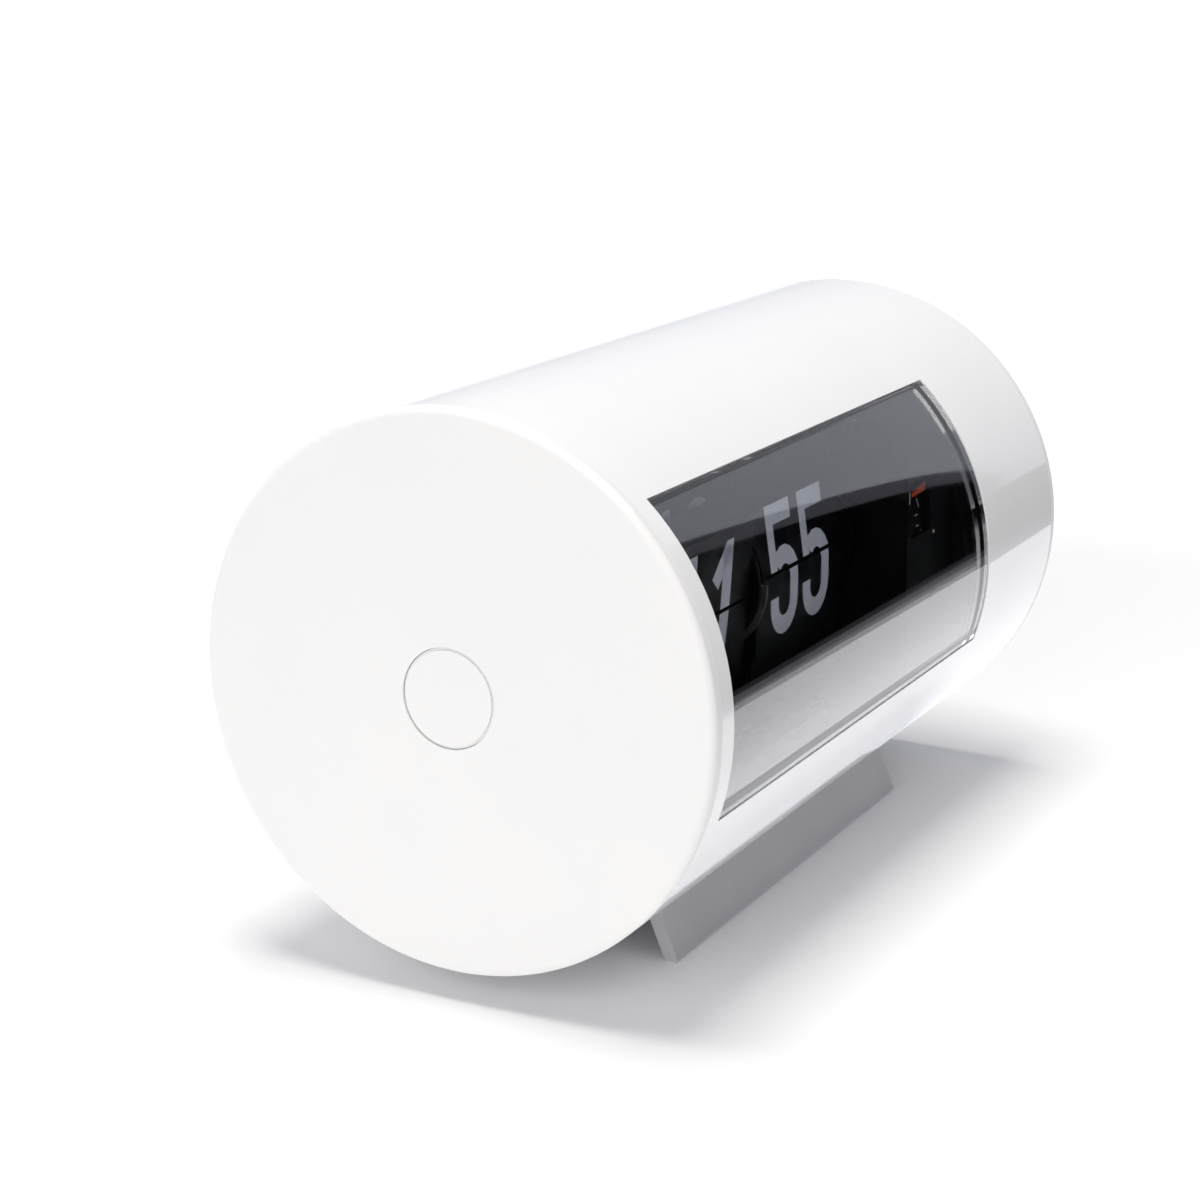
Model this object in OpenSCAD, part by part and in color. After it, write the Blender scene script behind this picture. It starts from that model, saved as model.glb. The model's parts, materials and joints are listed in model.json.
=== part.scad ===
// Desk flip clock in a horizontal tube, with a curved window over split leaves.
// The tube lies along X. The display faces -Y and the clock stands on its foot at Z = 0.

/* [Case] */
// Outer radius of the tube
tube_r = 46; // [45:0.5:56]
// Wall thickness of the tube
tube_wall = 2.5; // [1.5:0.1:3]
// Overall length of the clock along X
case_len = 160; // [158:1:190]
// Gap between the tube and the desk
desk_gap = 5; // [4:0.5:12]
// Thickness of the end discs
cap_t = 2.5; // [1.5:0.1:3]
// Length of the spigot behind each end disc
spigot_len = 2; // [1:0.1:2.2]
// Rounding of the outer edge of the end discs
rim_round = 1.2; // [0.4:0.1:1.2]
// Thickness of the spigots
spigot_t = 1.6; // [1:0.1:2.5]
// Gap between a part and the wall it slips into
slip_gap = 0.3; // [0.2:0.05:0.4]

/* [Window] */
// Distance from the left end of the clock to the window opening
window_margin = 6.6; // [6.6:0.1:10]
// Distance from the window opening to the right end of the clock
window_back = 39.6; // [39.5:0.1:44]
// Lower edge of the window, as an angle from straight ahead
window_a0 = -19; // [-25:1:-15]
// Upper edge of the window, as an angle from straight ahead
window_a1 = 47.5; // [44:0.5:50]
// Width of the lens flange hidden behind the tube wall
flange_w = 2; // [1:0.1:2]
// Thickness of the lens flange
flange_t = 1.5; // [1:0.1:1.6]
// Depth of the lens face below the tube surface
lens_sink = 0.2; // [0:0.1:1]

/* [Push button] */
// Radius of the button's face in the left disc
button_r = 7.8; // [6:0.1:9]
// Width of the groove around the button's face
button_gap = 0.5; // [0.3:0.05:0.6]
// Depth of that groove
button_groove = 0.4; // [0.3:0.1:0.8]
// Gap between the button's skirt, below the groove, and its hole
button_fit = 0.1; // [0.1:0.05:0.2]
// Travel of the button
button_travel = 1; // [0.5:0.1:1]
// Width of the lip that keeps the button in
button_lip = 1.4; // [1:0.1:1.5]
// Thickness of the lip
button_lip_t = 1.2; // [0.8:0.1:1.4]
// Radius of the plunger behind the button
plunger_r = 2.5; // [1.5:0.1:3]

/* [Foot] */
// Length of the foot along X
foot_len = 98; // [80:1:120]
// Distance from the middle to the outer bottom edge of each wall
foot_half = 25; // [22:0.5:28]
// Slant of the foot walls from upright
foot_slant = 22.5; // [15:0.5:28]
// Thickness of the foot walls
foot_wall = 2.5; // [2:0.1:3.5]
// Thickness of the curved web under the tube
foot_web = 2; // [1.5:0.1:2.5]
// Distance of each foot screw from the middle
foot_screw_x = 35; // [20:1:38]
// Shank radius of the foot screws
foot_screw_r = 1.25; // [1:0.05:1.6]

/* [Leaf drums] */
// Distance of the drum axis in front of the tube axis
drum_u = 13.5; // [13:0.1:13.8]
// Height of the drum axis above the tube axis
drum_v = 7; // [6.5:0.1:7.2]
// Radius of the circle on which the leaves hinge
hinge_r = 10.5; // [10.2:0.1:10.6]
// Height of one leaf
leaf_h = 13.6; // [12:0.1:13.9]
// Thickness of one leaf
leaf_t = 0.2; // [0.15:0.01:0.22]
// Distance from the left end of the clock to the hour leaves
hour_margin = 17.7; // [16:0.1:20]
// Distance between the hour leaves and the minute leaves
leaf_space = 3.1; // [3:0.1:5]
// Distance from the minute leaves to the right end of the window opening
scale_space = 25.2; // [24:0.1:28]
// Number of minute leaves
minute_count = 60; // [30:6:60]
// Number of hour leaves
hour_count = 24; // [12:12:24]
// Length of the tab at each end of a leaf
tab_len = 0.6; // [0.4:0.1:0.7]
// Backward lean of the upper minute leaf
leaf_lean = 8; // [6:0.5:9]
// Forward turn of the hour drum, which nears its next change
hour_turn = 7.4; // [5:0.1:8]
// Forward lean of the upper hour leaf, just before it falls
hour_lean = 4; // [3:0.5:5]
// Thickness of the drum end discs
drum_disc_t = 1; // [0.9:0.05:1.1]
// Radius of the drum end discs
drum_disc_r = 12.2; // [12:0.1:12.6]
// Radius of the drum core
drum_core_r = 6; // [4:0.1:8]
// Radius of the main shaft
shaft_r = 2; // [1.5:0.05:2.2]
// Radial gap of the running fits
run_gap = 0.05; // [0.03:0.01:0.08]

/* [Frame] */
// Thickness of the left frame plate
left_plate_t = 1.5; // [1.2:0.1:1.5]
// Distance of the middle frame plate inside the right end of the window opening
mid_plate_set = 2.4; // [2:0.1:2.5]
// Thickness of the middle frame plate
mid_plate_t = 2.5; // [2:0.1:2.6]
// Distance between the left faces of the middle and right frame plates
train_bay = 13; // [12.8:0.1:14]
// Thickness of the right frame plate
right_plate_t = 1.5; // [1.2:0.1:2]
// Radius of the tie rods
rod_r = 2; // [1.8:0.1:2.4]
// Inner radius of the curved shrouds around the drums
shroud_r = 25; // [24.8:0.1:25.2]
// Thickness of the shrouds
shroud_t = 1.2; // [0.8:0.1:1.4]
// Distance between the minute leaves and the scale mask
mask_space = 0.6; // [0.5:0.1:0.8]
// Distance of the flat face of the scale mask in front of the tube axis
mask_face = 36.2; // [36:0.1:37]
// Thickness of the scale mask
mask_t = 1; // [0.8:0.1:1.2]

/* [Gears] */
// Gear module
gear_m = 0.8; // [0.78:0.01:0.8]
// Teeth on the minute wheel and the alarm wheel
wheel_teeth = 48; // [44:2:48]
// Teeth on each pinion
pinion_teeth = 14; // [12:1:14]
// Teeth on the intermediate wheel
inter_teeth = 40; // [34:2:40]
// Face width of the wheels
wheel_w = 2; // [1.5:0.1:2.2]
// Play at each tooth flank
tooth_play = 0.06; // [0.04:0.01:0.1]

/* [Alarm] */
// Distance between the minute leaves and the alarm drum
alarm_space = 3; // [2.5:0.1:3.2]
// Width of the alarm drum
alarm_w = 11; // [9:0.1:11]
// Radius of the alarm drum
alarm_r = 21.4; // [20:0.1:21.5]
// Rim thickness of the alarm drum
alarm_rim = 1.5; // [1:0.1:2]
// Radius of the alarm knob shaft
alarm_shaft_r = 1.5; // [1.2:0.05:1.8]
// Radius of both setting knobs
knob_r = 8; // [6:0.1:9]

/* [Power] */
// Radius of the battery cell
cell_r = 13.1; // [12:0.1:13.1]
// Length of the battery cell
cell_len = 50; // [44:0.5:50]
// Left end of the battery cell
cell_x0 = -40; // [-42:0.5:-38]
// Thickness of the battery cradle
cradle_t = 1.2; // [1:0.1:1.5]
// Radius of the motor
motor_r = 14; // [12:0.1:14]
// Length of the motor
motor_len = 13; // [11:0.1:14]

/* [Hidden] */
$fn = 96;
eps = 0.01;
white = [0.94, 0.94, 0.93];
black = [0.06, 0.06, 0.07];

// What fills the tube follows its radius: fit is 1 at the standard radius
standard_r = 46;
fit = tube_r / standard_r;
axis_z = tube_r + desk_gap;

// Case stations along X
case_x0 = -case_len / 2;
case_x1 = case_len / 2;
window_x0 = case_x0 + window_margin;
window_x1 = case_x1 - window_back;
tube_x0 = case_x0 + cap_t;
tube_x1 = case_x1 - cap_t;
tube_in = tube_r - tube_wall;
slip_r = tube_in - slip_gap;
flange_in = slip_r - flange_t;
flange_deg = flange_w / tube_in * 180 / PI;
gap_deg = slip_gap / tube_in * 180 / PI;
front_r = flange_in - slip_gap;

// Frame stations along X
left_plate_x = tube_x0 + spigot_len + slip_gap;
left_inner = left_plate_x + left_plate_t;
mid_plate_x = window_x1 - mid_plate_set;
mid_right = mid_plate_x + mid_plate_t;
right_plate_x = mid_plate_x + train_bay;
right_outer = right_plate_x + right_plate_t;
rod_places = fit * [[8, 36.5], [12, -34], [-36, 14]];
screw_r = rod_r / 2;
screw_head_r = 2.2;
screw_head_t = 1.2;
screw_len = 5;
window_cut = 6;

// Leaf drum stations
hour_x0 = case_x0 + hour_margin;
minute_x1 = window_x1 - scale_space;
leaf_w = (minute_x1 - hour_x0 - leaf_space) / 2;
hour_x1 = hour_x0 + leaf_w;
minute_x0 = hour_x1 + leaf_space;
leaf_reach = fit * leaf_h;
hinge_ring = fit * hinge_r;
disc_r = fit * drum_disc_r;
core_r = fit * drum_core_r;
shroud_in = fit * shroud_r;
shroud_out = shroud_in + shroud_t;
disc_gap = 0.15;
drum_out = disc_gap + drum_disc_t;
groove_r0 = hinge_ring - tab_len - 0.1;
groove_r1 = hinge_ring + tab_len + 0.1;
groove_depth = drum_disc_t - 0.3;
leaf_skim = 0.02;
display_deg = 1.5;
first_deg = 27;
last_deg = 342;
first_dir = 102;
last_dir = 268;
minute_low_dir = 270;
hour_low_dir = 264;

// Gear train: centre distances, places and stations
tooth_m = fit * gear_m;
wheel_r = tooth_m * wheel_teeth / 2;
pinion_r = tooth_m * pinion_teeth / 2;
inter_r = tooth_m * inter_teeth / 2;
train_dist = wheel_r + pinion_r;
inter_dist = inter_r + pinion_r;
press_deg = 20;
inter_dir = 150;
motor_dir = -120;
alarm_dir = 240;
drum_at = fit * [drum_u, drum_v];
inter_at = drum_at + train_dist * [cos(inter_dir), sin(inter_dir)];
motor_at = inter_at + inter_dist * [cos(motor_dir), sin(motor_dir)];
alarm_at = drum_at + train_dist * [cos(alarm_dir), sin(alarm_dir)];
pinion_w = wheel_w + 0.4;
train_a_x = mid_right + 1.5;
train_b_x = train_a_x + 4;
arbor_r = 1.2;
motor_shaft_r = 1;
motor_out = fit * motor_r;
motor_boss_t = 1;

// Knob well in the right cap
well_r = fit * 36;
well_depth = 9;
well_t = 2;
well_x = case_x1 - well_depth - well_t;
knob_gap = 0.4;
knob_x = well_x + well_t + knob_gap;
knob_x1 = case_x1 - 1;
knob_clear = 0.4;
grip_r = fit * knob_r;
flute_r = 1;
flute_count = 16;

// Alarm train stations
mask_x0 = minute_x1 + mask_space;
alarm_x0 = minute_x1 + alarm_space;
alarm_x1 = alarm_x0 + alarm_w;
scale_r = fit * alarm_r;
alarm_web_t = 1.5;
alarm_wheel_x = alarm_x1;
mask_u = fit * mask_face;
mask_a0 = window_a0 - 5;
mask_a1 = window_a1 + 5;
mask_bore_r = disc_r + 1.2;
slot_x0 = mask_x0 + 1.6;
slot_x1 = alarm_x1 - 2.2;
slot_v0 = fit * 8;
slot_v1 = fit * 18;
pointer_t = 0.3;
pointer_h = 2;

// Battery bay
bay_dir = 213;
bay_gap = 0.64;
cradle_gap = 0.3;
cell_out = fit * cell_r;
cradle_r = cell_out + cradle_gap + cradle_t;
bay_at = (tube_in - bay_gap - cradle_r) * [cos(bay_dir), sin(bay_dir)];
cell_x1 = cell_x0 + cell_len;
contact_t = 0.4;
contact_len = 1.2;
contact_r = fit * 6;
contact_tip_r = 2.5;
cell_cap_len = 1.5;
bay_x0 = cell_x0 - contact_len;
bay_x1 = cell_x1 + contact_len;
door_margin = 5;
door_x0 = bay_x0 - door_margin;
door_x1 = bay_x1 + door_margin;
door_top = fit * 1;
door_bottom = fit * -31;
door_reach = 10;

// Electronics
board_gap = 2.5;
board_t = 1.6;
board_half = fit * 22;
board_bottom = fit * -34.5;
board_top = fit * -20;
board_x = right_outer + board_gap;
board_face = board_x + board_t;
board_post_r = 2;
chip = [7, 5, 1.8];
can_r = 2.5;
can_len = 7;
buzzer_r = fit * 6.8;
buzzer_len = 6;

// Push button switch and foot screws
plate_hole_r = button_r + button_lip + button_gap + 1.4;
switch_strap = [5, 2 * plate_hole_r + 5.8, 1];
switch_block = [9, 9, 3];
foot_head_r = 2.6;
foot_head_t = 1.5;
foot_slot_w = 0.6;

// Draws a shape between two stations along X, seen from the left: first axis forward, second up
module along(x0, x1) {
    translate([x1, 0, axis_z]) rotate([90, 0, -90]) linear_extrude(x1 - x0) children();
}

// Flat sector from angle a0 to a1 that covers a circle of radius r
module sector(a0, a1, r) {
    steps = ceil((a1 - a0) / 40);
    polygon(concat([[0, 0]], [for (i = [0 : steps]) let (a = a0 + (a1 - a0) * i / steps)
        1.3 * r * [cos(a), sin(a)]]));
}

module ring(r_out, r_in) {
    difference() {
        circle(r_out);
        circle(r_in);
    }
}

module arc_ring(r_out, r_in, a0, a1) {
    intersection() {
        ring(r_out, r_in);
        sector(a0, a1, r_out);
    }
}

// Half angle of a gear tooth at radius r, for a pitch radius p
function inv(a) = tan(a) * 180 / PI - a;
function half_tooth(r, p, n) = 90 / n - tooth_play / p * 180 / PI + inv(press_deg)
    - inv(acos(min(1, p * cos(press_deg) / r)));

// Spur gear outline with involute flanks
module gear(n) {
    p = tooth_m * n / 2;
    tip = p + 0.8 * tooth_m;
    root = p - 1.1 * tooth_m;
    base = max(root, p * cos(press_deg));
    flank = [for (i = [0 : 3]) base + (tip - base) * i / 3];
    polygon([for (k = [0 : n - 1]) let (mid = 360 * k / n) each concat(
        [let (a = mid - half_tooth(base, p, n)) root * [cos(a), sin(a)]],
        [for (r = flank) let (a = mid - half_tooth(r, p, n)) r * [cos(a), sin(a)]],
        [for (i = [3 : -1 : 0]) let (r = flank[i], a = mid + half_tooth(r, p, n)) r * [cos(a), sin(a)]],
        [let (a = mid + half_tooth(base, p, n)) root * [cos(a), sin(a)]])]);
}

// Spur gear at a place, with a tooth that points in direction dir, on a shaft of radius bore
module gear_at(place, n, dir, bore) {
    translate(place) difference() {
        rotate(dir) gear(n);
        circle(bore);
    }
}

module body_tube() {
    color(white) difference() {
        along(tube_x0, tube_x1) ring(tube_r, tube_in);
        along(window_x0, window_x1) sector(window_a0, window_a1, tube_r);
        along(door_x0, door_x1) door_outline(0);
        foot_holes(foot_screw_r + 0.15);
    }
}

// Slab behind the tube axis that the battery door fills, less a gap
module door_outline(gap) {
    translate([-1.3 * tube_r, door_bottom + gap])
        square([1.3 * tube_r - door_reach, door_top - door_bottom - 2 * gap]);
}

module foot_holes(r) {
    for (side = [-1, 1])
        translate([side * foot_screw_x, 0, axis_z - tube_r - foot_web - 1])
            cylinder(h = foot_web + tube_wall + 3, r = r);
}

// Half section of an end disc with a rounded outer edge and a hole of radius hole_r
module disc_section(hole_r) {
    translate([hole_r, 0]) square([tube_r - hole_r, cap_t - rim_round]);
    translate([hole_r, 0]) square([tube_r - hole_r - rim_round, cap_t]);
    translate([tube_r - rim_round, cap_t - rim_round]) circle(rim_round);
}

module left_cap() {
    guide_r = button_r + button_lip + button_gap;
    color(white) union() {
        translate([tube_x0, 0, axis_z]) rotate([0, -90, 0]) rotate_extrude()
            disc_section(button_r + button_gap);
        along(tube_x0 - eps, tube_x0 + spigot_len) ring(slip_r, slip_r - spigot_t);
        along(tube_x0 - eps, left_plate_x) ring(guide_r + 1, guide_r);
    }
}

module right_cap() {
    color(white) difference() {
        union() {
            translate([tube_x1, 0, axis_z]) rotate([0, 90, 0]) rotate_extrude()
                disc_section(well_r);
            along(tube_x1 - spigot_len, tube_x1 + eps) ring(slip_r, slip_r - spigot_t);
            along(well_x, case_x1) ring(well_r + well_t, well_r);
            along(well_x, well_x + well_t) circle(well_r + eps);
        }
        along(well_x - eps, well_x + well_t + eps) translate(drum_at) circle(shaft_r + knob_clear);
        along(well_x - eps, well_x + well_t + eps) translate(alarm_at)
            circle(alarm_shaft_r + knob_clear);
    }
}

module window_lens() {
    color([0.75, 0.8, 0.85, 0.35]) union() {
        along(window_x0 + slip_gap, window_x1 - slip_gap)
            arc_ring(tube_r - lens_sink, slip_r - eps, window_a0 + gap_deg, window_a1 - gap_deg);
        along(window_x0 - flange_w, window_x1 + flange_w)
            arc_ring(slip_r, flange_in, window_a0 - flange_deg, window_a1 + flange_deg);
    }
}

// Half-width list of a slanted foot face at three heights, mirrored into a closed outline
module foot_trapezoid(half, edge, depth) {
    rise = axis_z - tube_r * 0.75;
    top_half = half - tan(foot_slant) * rise;
    side = [[half + edge, -depth], [half + edge, 0], [half, 0.5], [top_half, rise]];
    polygon(concat(side, [for (i = [3 : -1 : 0]) [-side[i][0], side[i][1]]]));
}

// Outline of the foot, seen from the end
module foot_outline() {
    seat_r = tube_r + 0.1;
    difference() {
        translate([0, -axis_z]) foot_trapezoid(foot_half, -0.4, 0);
        circle(seat_r);
        difference() {
            translate([0, -axis_z]) foot_trapezoid(foot_half - foot_wall, 0.4, 1);
            circle(seat_r + foot_web);
        }
    }
}

module foot() {
    color([0.86, 0.86, 0.85]) difference() {
        along(-foot_len / 2, foot_len / 2) foot_outline();
        foot_holes(foot_screw_r + 0.1);
    }
}

module foot_screws() {
    head_z = axis_z - tube_in + 0.35;
    color("silver") for (side = [-1, 1]) translate([side * foot_screw_x, 0, 0]) {
        translate([0, 0, axis_z - tube_r - foot_web])
            cylinder(h = head_z - axis_z + tube_r + foot_web + 0.5, r = foot_screw_r);
        translate([0, 0, head_z]) difference() {
            cylinder(h = foot_head_t, r = foot_head_r);
            translate([0, 0, foot_head_t]) cube([1.5 * foot_head_r, foot_slot_w, foot_head_t], center = true);
        }
    }
}

module alarm_button() {
    lip_x = tube_x0 + slip_gap;
    color(white) union() {
        along(case_x0, lip_x + eps) circle(button_r);
        along(case_x0 + button_groove, lip_x + eps) circle(button_r + button_gap - button_fit);
        along(lip_x, lip_x + button_lip_t) circle(button_r + button_lip);
        along(lip_x + button_lip_t - eps, left_inner - 0.2 - button_travel) circle(plunger_r);
    }
}

// Switch on a strap across the hole in the left frame plate
module button_switch() {
    strap_x = left_inner + switch_strap[2];
    color(black) union() {
        along(left_inner, strap_x) square([switch_strap[0], switch_strap[1]], center = true);
        along(strap_x - eps, strap_x + switch_block[2])
            square([switch_block[0], switch_block[1]], center = true);
    }
}

module plate_outline() {
    difference() {
        circle(slip_r);
        arc_ring(slip_r + window_cut, front_r, window_a0 - window_cut, window_a1 + window_cut);
    }
}

module left_plate() {
    color(black) along(left_plate_x, left_inner) difference() {
        plate_outline();
        circle(plate_hole_r);
        translate(drum_at) circle(shaft_r + run_gap);
        for (p = rod_places) translate(p) circle(screw_r + 0.1);
    }
}

module middle_plate() {
    color(black) along(mid_plate_x, mid_right) difference() {
        plate_outline();
        translate(drum_at) circle(shaft_r + run_gap);
        translate(inter_at) circle(arbor_r + run_gap);
        translate(alarm_at) circle(alarm_shaft_r + run_gap);
        for (p = rod_places) translate(p) circle(rod_r + run_gap);
    }
}

module right_plate() {
    color(black) union() {
        along(right_plate_x, right_outer) difference() {
            circle(slip_r);
            translate(drum_at) circle(shaft_r + run_gap);
            translate(inter_at) circle(arbor_r + run_gap);
            translate(alarm_at) circle(alarm_shaft_r + run_gap);
            translate(motor_at) circle(motor_shaft_r + 0.5);
            for (p = rod_places) translate(p) circle(screw_r + 0.1);
        }
        for (side = [-1, 1]) along(right_outer - eps, board_x)
            translate([side * (board_half - 2 * board_post_r), (board_top + board_bottom) / 2])
                circle(board_post_r);
    }
}

module tie_rods() {
    color("silver") for (p = rod_places) difference() {
        along(left_inner, right_plate_x) translate(p) circle(rod_r);
        along(left_inner - eps, left_inner + screw_len) translate(p) circle(screw_r + run_gap);
        along(right_plate_x - screw_len, right_plate_x + eps) translate(p) circle(screw_r + run_gap);
    }
}

module frame_screws() {
    shank = screw_len - 1;
    color("silver") for (p = rod_places) {
        along(left_plate_x - screw_head_t, left_plate_x) translate(p) circle(screw_head_r);
        along(left_plate_x - eps, left_inner + shank) translate(p) circle(screw_r);
        along(right_outer, right_outer + screw_head_t) translate(p) circle(screw_head_r);
        along(right_plate_x - shank, right_outer + eps) translate(p) circle(screw_r);
    }
}

module upper_shroud() {
    color(black) along(left_inner, mid_plate_x) translate(drum_at)
        arc_ring(shroud_out, shroud_in, 62, 150);
}

module lower_shroud() {
    color(black) along(left_inner, mid_plate_x) translate(drum_at)
        arc_ring(shroud_out, shroud_in, 260, 298);
}

// Light crescent in the gap between the drums, carried by the lower shroud
module leaf_guide() {
    guide_t = 0.4;
    guide_x = (hour_x1 + minute_x0) / 2;
    guide_in = disc_r - 1;
    guide_out = disc_r + 0.9;
    stem_w = 2.4;
    color([0.85, 0.85, 0.8]) along(guide_x - guide_t / 2, guide_x + guide_t / 2)
        translate(drum_at) union() {
            arc_ring(guide_out, guide_in, -80, 2);
            rotate(-79) translate([guide_in + 0.3, -1])
                square([shroud_in - guide_in - 0.4, stem_w]);
        }
}

// Filled section of the mask: a sector of radius r, cut flat at distance face in front
module mask_section(r, face, top) {
    intersection() {
        circle(r);
        sector(mask_a0, top, tube_r);
        translate([0, -tube_r]) square([face, 2 * tube_r]);
    }
}

// Curved and flat cover in front of the alarm drum, with a side wall next to the minute leaves
module scale_mask() {
    color(black) difference() {
        union() {
            along(mask_x0, mid_plate_x) difference() {
                mask_section(front_r, mask_u, mask_a1);
                circle(front_r / 2);
                intersection() {
                    circle(front_r - mask_t);
                    translate([0, -tube_r]) square([mask_u - mask_t, 2 * tube_r]);
                }
            }
            along(mask_x0, mask_x0 + mask_t) difference() {
                mask_section(front_r, mask_u, window_a1 - 2);
                circle(front_r / 2);
                translate(drum_at) circle(mask_bore_r);
            }
        }
        along(slot_x0, slot_x1) translate([mask_u - 2 * mask_t, slot_v0])
            square([3 * mask_t, slot_v1 - slot_v0]);
    }
}

// Tapered pointer behind the slot, fixed to the back of the mask
module alarm_pointer() {
    tip_z = axis_z + slot_v1 - 1.6 * pointer_h;
    color([0.95, 0.4, 0.15]) translate([0, -(mask_u - mask_t - pointer_t), 0]) rotate([90, 0, 0])
        linear_extrude(pointer_t) polygon([[slot_x1 + 1.5, tip_z + 0.2], [slot_x1 + 1.5, tip_z + pointer_h],
            [slot_x0 + 2.2, tip_z + 0.5], [slot_x0 + 1.6, tip_z]]);
}

module main_shaft() {
    color("silver") along(left_plate_x, knob_x1 - 2) translate(drum_at) circle(shaft_r);
}

// Drum with a grooved disc at each end that holds the tabs of the leaves
module leaf_drum(x0, x1, bore) {
    along(x0 - drum_out + drum_disc_t, x1 + drum_out - drum_disc_t) translate(drum_at)
        ring(core_r, bore);
    along(x0 - drum_out, x0 - disc_gap - groove_depth) translate(drum_at) ring(disc_r, bore);
    along(x0 - disc_gap - groove_depth - eps, x0 - disc_gap) translate(drum_at) {
        ring(disc_r, groove_r1);
        ring(groove_r0, bore);
    }
    along(x1 + disc_gap, x1 + disc_gap + groove_depth + eps) translate(drum_at) {
        ring(disc_r, groove_r1);
        ring(groove_r0, bore);
    }
    along(x1 + disc_gap + groove_depth, x1 + drum_out) translate(drum_at) ring(disc_r, bore);
}

// One leaf from hinge angle at, pointing in direction dir, its face offset sideways by shift.
// A round pin at each end turns in the groove of the drum disc
module leaf(x0, at, dir, shift) {
    hinge = drum_at + hinge_ring * [cos(at), sin(at)];
    union() {
        along(x0, x0 + leaf_w) translate(hinge) rotate(dir) translate([0, shift])
            square([leaf_reach, leaf_t]);
        for (x = [x0 - tab_len, x0 + leaf_w - eps]) along(x, x + tab_len + eps)
            translate(hinge) rotate(dir) union() {
                translate([0, shift]) square([leaf_t, leaf_t]);
                circle(leaf_t);
            }
    }
}

// Lower display leaf, in direction low_dir, and the leaves that are packed behind the display,
// on a drum that has turned forward by turn
module leaf_set(x0, count, turn, low_dir) {
    hidden = count - 2;
    leaf(x0, -display_deg - turn, low_dir, -leaf_skim - leaf_t);
    for (i = [0 : hidden - 1]) {
        part_way = i / (hidden - 1);
        leaf(x0, first_deg + (last_deg - first_deg) * part_way - turn,
            first_dir + (last_dir - first_dir) * part_way - turn, -leaf_t / 2);
    }
}

module minute_drum() {
    color([0.15, 0.15, 0.15]) leaf_drum(minute_x0, minute_x1, shaft_r + run_gap);
}

module minute_leaves() {
    color(black) leaf_set(minute_x0, minute_count, 0, minute_low_dir);
}

module minute_flip_leaf() {
    color(black) leaf(minute_x0, display_deg, 90 + leaf_lean, leaf_skim);
}

module hour_drum() {
    color([0.15, 0.15, 0.15]) leaf_drum(hour_x0, hour_x1, shaft_r + run_gap);
}

module hour_leaves() {
    color(black) leaf_set(hour_x0, hour_count, hour_turn, hour_low_dir);
}

module hour_flip_leaf() {
    color(black) leaf(hour_x0, display_deg - hour_turn, 90 - hour_lean, leaf_skim);
}

module minute_wheel() {
    color("gold") along(train_a_x, train_a_x + wheel_w)
        gear_at(drum_at, wheel_teeth, inter_dir, shaft_r + run_gap);
}

module intermediate_pinion() {
    color("gold") along(train_a_x - 0.2, train_a_x - 0.2 + pinion_w)
        gear_at(inter_at, pinion_teeth, inter_dir + 180 + 180 / pinion_teeth, arbor_r + run_gap);
}

module intermediate_wheel() {
    color("gold") along(train_b_x, train_b_x + wheel_w)
        gear_at(inter_at, inter_teeth, motor_dir, arbor_r + run_gap);
}

module intermediate_arbor() {
    color("silver") along(mid_plate_x, right_outer) translate(inter_at) circle(arbor_r);
}

module motor_pinion() {
    color("gold") union() {
        along(train_b_x - 0.2, train_b_x - 0.2 + pinion_w) translate(motor_at)
            rotate(motor_dir + 180 + 180 / pinion_teeth) gear(pinion_teeth);
        along(train_b_x, right_outer + 3) translate(motor_at) circle(motor_shaft_r);
    }
}

module motor() {
    color("silver") difference() {
        union() {
            along(right_outer, right_outer + motor_len) translate(motor_at) circle(motor_out);
            along(right_outer + motor_len - eps, right_outer + motor_len + motor_boss_t)
                translate(motor_at) circle(motor_out * 0.4);
        }
        along(right_outer - eps, right_outer + 4) translate(motor_at)
            circle(motor_shaft_r + run_gap);
    }
}

module alarm_drum() {
    color("white") along(alarm_x0, alarm_x1 - alarm_web_t + eps) translate(drum_at)
        ring(scale_r, scale_r - alarm_rim);
    color("white") along(alarm_x1 - alarm_web_t, alarm_x1) translate(drum_at)
        ring(scale_r, shaft_r + run_gap);
    color("white") along(alarm_x0, alarm_x1 - alarm_web_t + eps) translate(drum_at)
        ring(shaft_r + 2.5, shaft_r + run_gap);
}

module alarm_wheel() {
    color("gold") along(alarm_wheel_x, alarm_wheel_x + wheel_w)
        gear_at(drum_at, wheel_teeth, alarm_dir, shaft_r + run_gap);
}

module alarm_pinion() {
    color("gold") along(alarm_wheel_x + slip_gap, alarm_wheel_x + slip_gap + pinion_w)
        gear_at(alarm_at, pinion_teeth, alarm_dir + 180 + 180 / pinion_teeth,
            alarm_shaft_r + run_gap);
}

module alarm_shaft() {
    color("silver") along(alarm_wheel_x + slip_gap, knob_x1 - 2) translate(alarm_at)
        circle(alarm_shaft_r);
}

// Knob with finger flutes on a shaft of radius bore
module knob(place, bore) {
    along(knob_x, knob_x1) translate(place) difference() {
        circle(grip_r);
        circle(bore);
        for (k = [0 : flute_count - 1]) rotate(360 * k / flute_count)
            translate([grip_r + 0.6 * flute_r, 0]) circle(flute_r);
    }
    along(knob_x1 - 1.5, knob_x1) translate(place) circle(bore + 0.5);
}

module time_knob() {
    color(black) knob(drum_at, shaft_r + run_gap);
}

module alarm_knob() {
    color(black) knob(alarm_at, alarm_shaft_r + run_gap);
}

module circuit_board() {
    color([0.1, 0.4, 0.2]) along(board_x, board_x + board_t)
        translate([-board_half, board_bottom]) square([2 * board_half, board_top - board_bottom]);
}

module board_parts() {
    color(black) along(board_face, board_face + chip[2])
        translate([can_r, board_bottom + chip[1]]) square([chip[0], chip[1]]);
    color(black) along(board_face, board_face + can_len)
        translate([board_half - 2.5 * can_r, board_top - 2 * can_r]) circle(can_r);
}

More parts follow.
